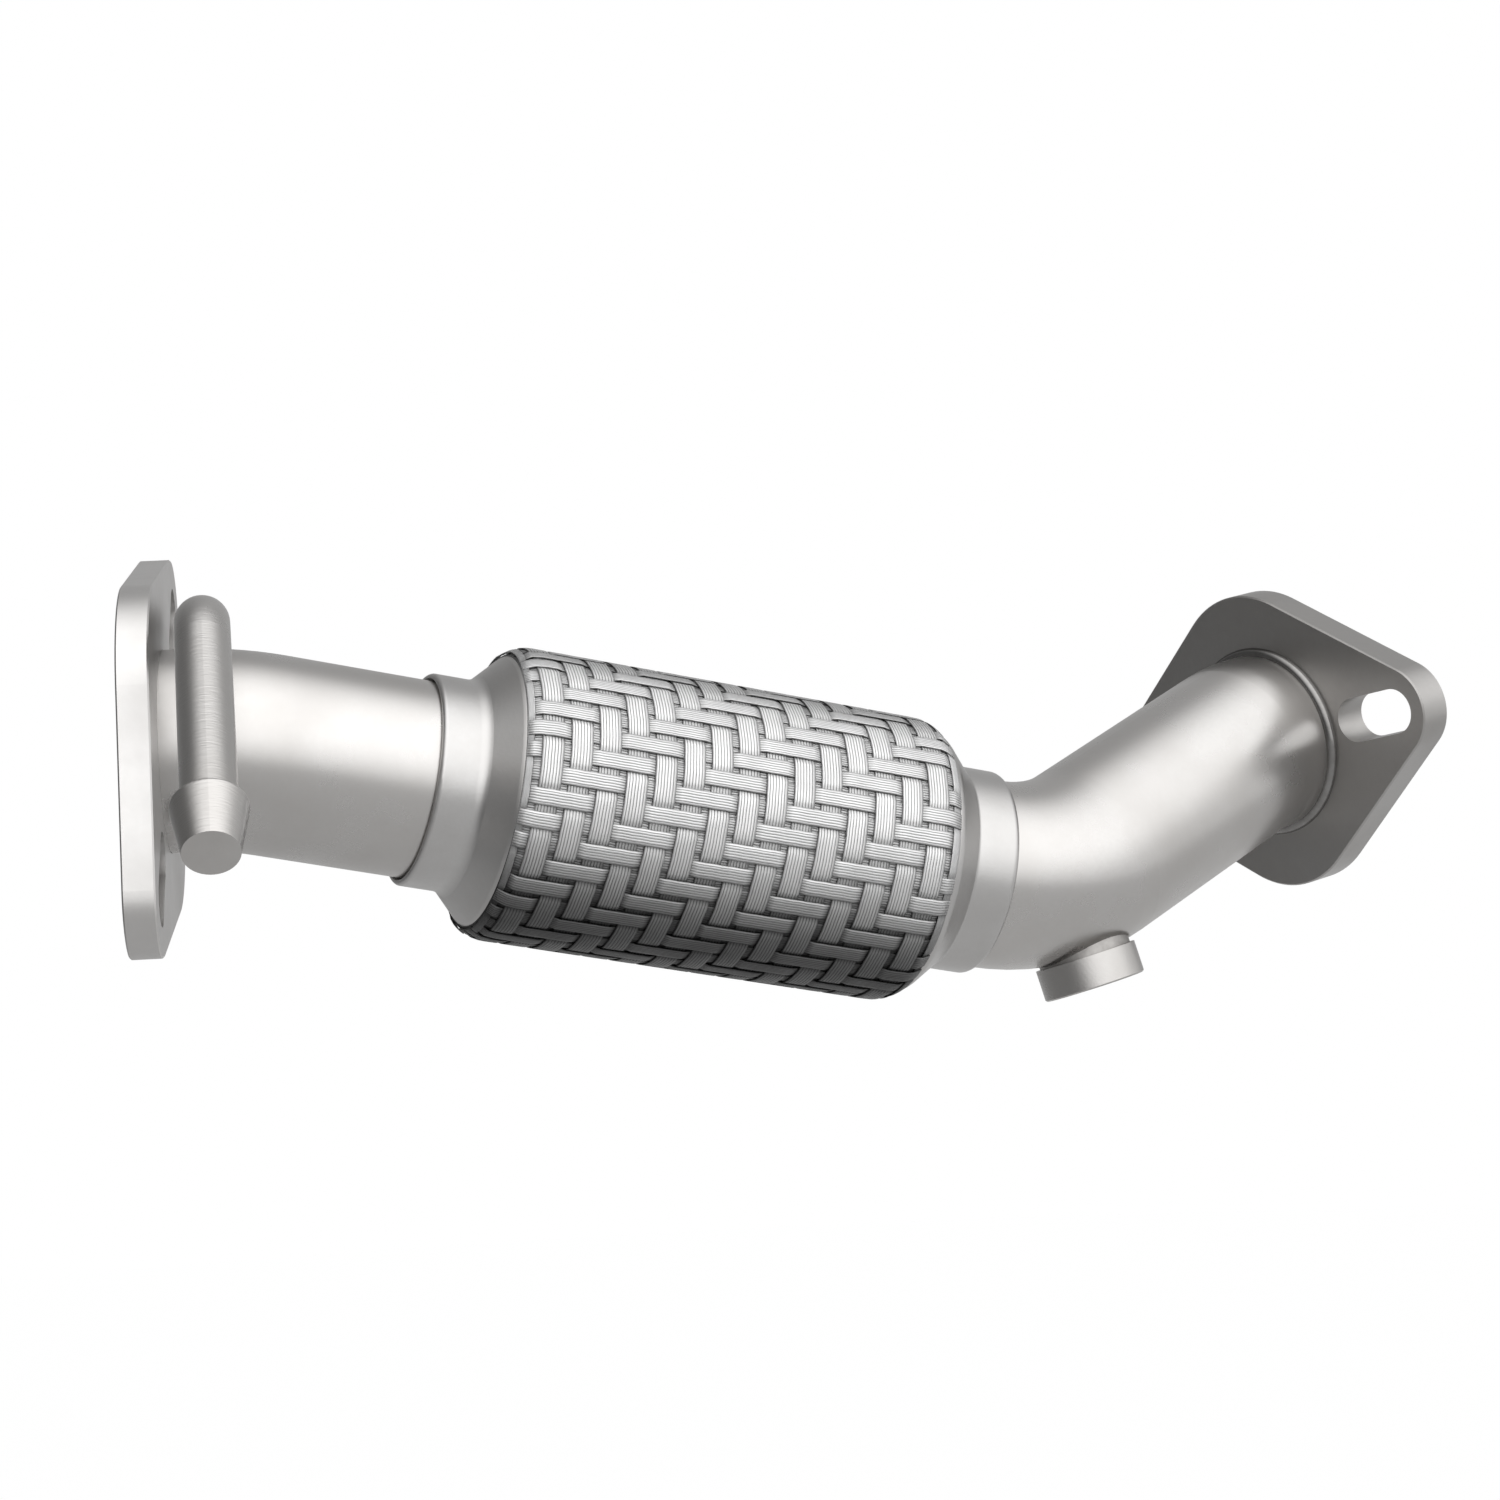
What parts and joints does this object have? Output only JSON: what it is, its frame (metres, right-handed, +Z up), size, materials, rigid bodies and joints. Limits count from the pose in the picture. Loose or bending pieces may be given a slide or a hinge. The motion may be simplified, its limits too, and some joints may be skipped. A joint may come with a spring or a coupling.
{
  "type": "exhaust front pipe",
  "caption": "Exhaust front pipe with slotted two-bolt flanges, a braided flexible section, a threaded sensor boss and a bent hanger rod.",
  "frame": {"origin": "centre of the inlet flange's mating face, where the tube's axis meets it", "axes": "+X into the pipe, square to the inlet flange; +Z up as in the picture; the hanger rod points to -Y"},
  "size_m": [0.3524, 0.3147, 0.1288],
  "materials": {
    "tube_steel": "satin",
    "flange_steel": "satin",
    "rod_steel": "brushed across",
    "cap_steel": "satin",
    "braid_steel": "woven wire",
    "bellows_steel": "satin",
    "liner_steel": "satin",
    "boss_steel": "turned",
    "weld_steel": "weld bead"
  },
  "bodies": {
    "root": {"inlet_flange": "flange_steel", "inlet_flange_weld": "weld_steel", "inlet_pipe": "tube_steel", "hanger_rod": "rod_steel", "hanger_rod_weld": "weld_steel", "flex_inlet_cap": "cap_steel", "flex_outlet_cap": "cap_steel", "flex_braid": "braid_steel", "flex_bellows": "bellows_steel", "flex_liner": "liner_steel", "outlet_pipe": "tube_steel", "sensor_boss": "boss_steel", "sensor_boss_weld": "weld_steel", "outlet_flange": "flange_steel", "outlet_flange_weld": "weld_steel"}
  },
  "joints": []
}
